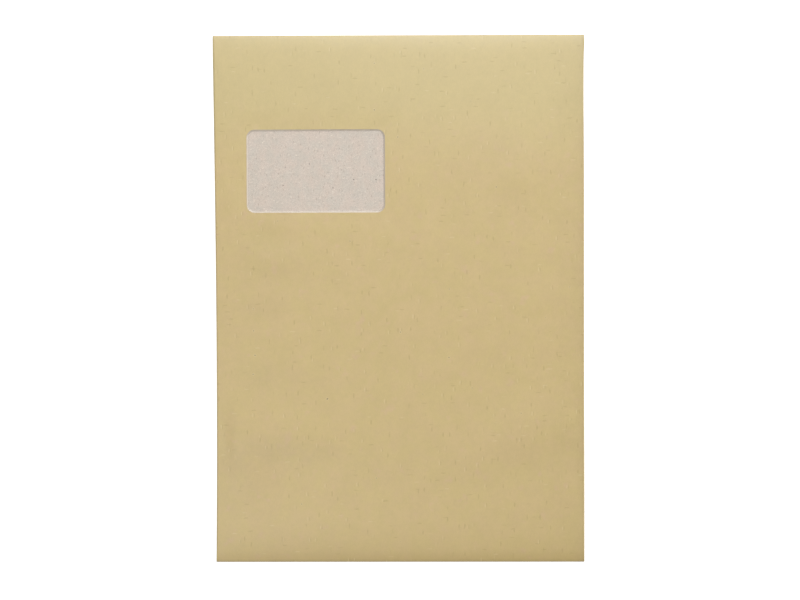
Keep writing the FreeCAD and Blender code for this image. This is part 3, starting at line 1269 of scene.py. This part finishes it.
    def flap_rows(self, end: End) -> list[float]:
        """Distances from the middle, from the end fold to the flap's free edge.

        Args:
            end: Which end.

        Returns:
            The distances, falling.
        """
        start = self.middle - self.half_height
        if end is End.BOTTOM:
            edge = self.bottom_depth - self.half_height
            return [-place for place in spaced([(start, self.flap_step), (edge, 0)])[1:]]
        straight = spaced([(start, self.coarse), (-self.closing_corner, 0)])[1:]
        turns = [
            self.closing_radius * math.sin(math.radians(90 * step / self.closing_steps))
            for step in range(1, self.closing_steps + 1)
        ]
        return [-place for place in straight] + [self.closing_corner - turn for turn in turns]

    def flap(self, end: End) -> None:
        """Adds the lower half of one end fold and its flap.

        Args:
            end: Which end.
        """
        row = 0 if end is End.BOTTOM else len(self.rows) - 1
        distances = self.flap_rows(end)
        strips = []
        for column, x in enumerate(self.columns):
            if abs(x) > self.flap_fold:
                continue
            strip = [
                self.settle(x, end.value * y, level)
                for y, level in self.lower_arc(self.half_height, self.middle)
            ]
            for distance in distances:
                narrow = self.flap_half(end, distance) / self.flap_fold
                strip.append(self.settle(x * narrow, end.value * distance, 0))
            strips.append((self.numbers[column, row], strip))
        self.surface.weave(strips)

    def build(self, finish: bpy.types.Material) -> None:
        """Makes the whole sheet and dresses it in its finish.

        Args:
            finish: The paper's material.
        """
        self.front()
        for side in Side:
            self.seam(side)
        for end in End:
            self.flap(end)
        sheet = self.surface.shell("folded_sheet", OVER_FRONT, self.thickness)
        dress(sheet, finish)
        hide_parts("paper_sheet")


@dataclass
class WindowPane:
    """The clear pane behind the window, made from rings round the window's outline.

    Its rim slopes from the brim, inside the edge of the hole, down to the level middle. The
    middle repeats the rim's last ring, each time smaller, with a slight ripple.
    """

    sheet: PaperSheet
    thickness: float = 0.05
    brim: float = 0.25
    rim: float = 1.45
    rim_steps: int = 12
    corner_steps: int = 10
    spacing: float = 2.0
    ripple: Wave = Wave(0.02, 16, 12, 1.3)
    ripple_power: int = 6
    shrinks: tuple[float, ...] = (0.97, 0.9, 0.8, 0.68, 0.55, 0.42, 0.28, 0.14)

    def rings(self, center: Vector, top: float) -> list[list[Vector]]:
        """The pane's points, ring by ring from its outer edge inwards.

        Args:
            center: The pane's middle.
            top: The height of its flange.

        Returns:
            The rings, all with the same number of points.
        """
        outline = self.sheet.window
        profile = [(outline.overlap, top), (outline.overlap / 2, top)]
        for step in range(self.rim_steps + 1):
            share = step / self.rim_steps
            growth = self.brim - (self.brim + self.rim) * share
            profile.append((growth, top + (center.z - top) * ease(share)))
        rings = []
        for growth, level in profile:
            places = outline.ring(growth, self.corner_steps, self.spacing)
            rings.append([self.sheet.settle(x, y, level) for x, y in places])
        inner = rings[-1]
        for shrink in self.shrinks:
            ring = [center.lerp(point, shrink) for point in inner]
            for place in ring:
                fading = 1 - shrink**self.ripple_power
                place.z = center.z + self.ripple.rise(place.x, place.y) * fading
            rings.append(ring)
        return rings

    def build(self, finish: bpy.types.Material) -> None:
        """Makes the pane and dresses it in its finish.

        Args:
            finish: The film's material.
        """
        low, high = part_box("window_film")
        middle_x, middle_y = self.sheet.window.center()
        center = Vector((middle_x, middle_y, low[2] / MM + self.thickness))
        surface = Surface()
        rings = [
            [surface.add(point) for point in ring]
            for ring in self.rings(center, high[2] / MM)
        ]
        for outer, inner in zip(rings, rings[1:]):
            for number, point in enumerate(outer):
                after = (number + 1) % len(outer)
                surface.faces.append((point, outer[after], inner[after], inner[number]))
        last, hub = rings[-1], surface.add(center)
        for number, point in enumerate(last):
            surface.faces.append((point, last[(number + 1) % len(last)], hub))
        pane = surface.shell("window_pane", center + UP, self.thickness)
        dress(pane, finish)
        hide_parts("window_film")


@dataclass
class BoardAndGlue:
    """What the sheet is folded round and held with, kept as the frame's own solids."""

    glue_nodes: tuple[str, ...] = (
        "window_glue", "seam_glue_left", "seam_glue_right", "bottom_glue"
    )

    def dress(self) -> None:
        """Gives the board, the glue, the sticky strip and its liner their finishes."""
        dress_node("back_board", GREY_BOARD.material())
        glue = DRIED_GLUE.material()
        for node in self.glue_nodes:
            dress_node(node, glue)
        dress_node("adhesive_strip", STICKY_STRIP.material())
        dress_node("release_liner", LINER_PAPER.material())


@dataclass(frozen=True)
class Softbox:
    """A square lamp that faces the middle of the envelope, in metres and watts."""

    name: str
    place: Triple
    size: float
    power: float

    def hang(self) -> None:
        """Adds the lamp to the scene."""
        lamp = bpy.data.lights.new(self.name, "AREA")
        lamp.shape = "SQUARE"
        lamp.size = self.size
        lamp.energy = self.power
        softbox = bpy.data.objects.new(self.name, lamp)
        softbox.location = self.place
        softbox.rotation_euler = Vector(self.place).to_track_quat("Z", "Y").to_euler()
        bpy.context.scene.collection.objects.link(softbox)


@dataclass
class Studio:
    """Floor, lights and camera. Lengths are in metres and angles in degrees."""

    floor_size: float = 3.0
    floor_color: Color = (0.8, 0.8, 0.8)
    floor_roughness: float = 0.9
    floor_glow: float = 0.6
    sky_strength: float = 0.336
    softboxes: tuple[Softbox, ...] = (
        Softbox("key", (2.29, 2.45, 2.18), 3.2, 58.0),
        Softbox("right", (2.96, 0.1, 2.68), 1.0, 25.0),
        Softbox("top", (0.1, 2.98, 2.66), 1.1, 18.5),
        Softbox("overhead", (0.03, 0.655, 1.236), 0.63, 6.35),
        Softbox("fill", (-0.353, -0.421, 1.178), 0.5, 1.33),
    )
    lens: float = 85.0
    nearest: float = 0.01
    camera_place: Triple = (0.01916, 0.03553, 1.16409)
    camera_tilt: float = -1.754
    camera_lean: float = 0.9049
    camera_turn: float = -0.1872

    def lay_floor(self) -> None:
        """Lays a pale floor that shows white in pictures and keeps the envelope's shadow."""
        half = self.floor_size / 2 / MM
        corners = [Vector((x * half, y * half, 0)) for x, y in ((-1, -1), (1, -1), (1, 1), (-1, 1))]
        floor = Surface(corners, [(0, 1, 2, 3)]).piece("floor")
        graph = Graph(bpy.data.materials.new("floor_finish"))
        seen = graph.seen_by("Is Camera Ray", "Is Glossy Ray", "Is Transmission Ray")
        material = graph.finish(
            Base_Color=self.floor_color,
            Roughness=self.floor_roughness,
            Specular_IOR_Level=0.0,
            Emission_Color=(1, 1, 1),
            Emission_Strength=graph.times(seen, self.floor_glow),
        )
        floor.data.materials.append(material)

    def light_sky(self) -> None:
        """Lights the scene evenly, and shows white to the camera and through clear things."""
        world = bpy.data.worlds.new("studio")
        bpy.context.scene.world = world
        graph = Graph(world, "ShaderNodeOutputWorld")
        background = graph.node("ShaderNodeBackground")
        seen = graph.seen_by("Is Camera Ray", "Is Transmission Ray")
        graph.feed(background, "Color", (1, 1, 1, 1))
        graph.feed(background, "Strength", graph.span(seen, 0, 1, self.sky_strength, 1.0))
        graph.feed(graph.output, "Surface", background.outputs[0])

    def set_camera(self) -> None:
        """Looks straight down, as the photograph does, with its slight tilt and turn."""
        lens = bpy.data.cameras.new("camera")
        lens.lens = self.lens
        lens.clip_start = self.nearest
        camera = bpy.data.objects.new("camera", lens)
        turn = (
            Matrix.Rotation(math.radians(self.camera_turn), 4, "Z")
            @ Matrix.Rotation(math.radians(self.camera_lean), 4, "Y")
            @ Matrix.Rotation(math.radians(self.camera_tilt), 4, "X")
        )
        camera.matrix_world = Matrix.Translation(self.camera_place) @ turn
        bpy.context.scene.collection.objects.link(camera)
        bpy.context.scene.camera = camera

    def build(self) -> None:
        """Sets up the whole studio."""
        self.lay_floor()
        self.light_sky()
        for softbox in self.softboxes:
            softbox.hang()
        self.set_camera()
        bpy.context.scene.view_settings.view_transform = "Standard"


def main() -> None:
    """Builds the envelope and the studio in order."""
    logging.basicConfig(level=logging.INFO, format="%(name)s: %(message)s")
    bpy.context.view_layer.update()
    sheet = PaperSheet(WindowOutline())
    sheet.build(ManilaPaper().material())
    WindowPane(sheet).build(ClearFilm().material())
    BoardAndGlue().dress()
    Studio().build()


if __name__ == "__main__":
    main()
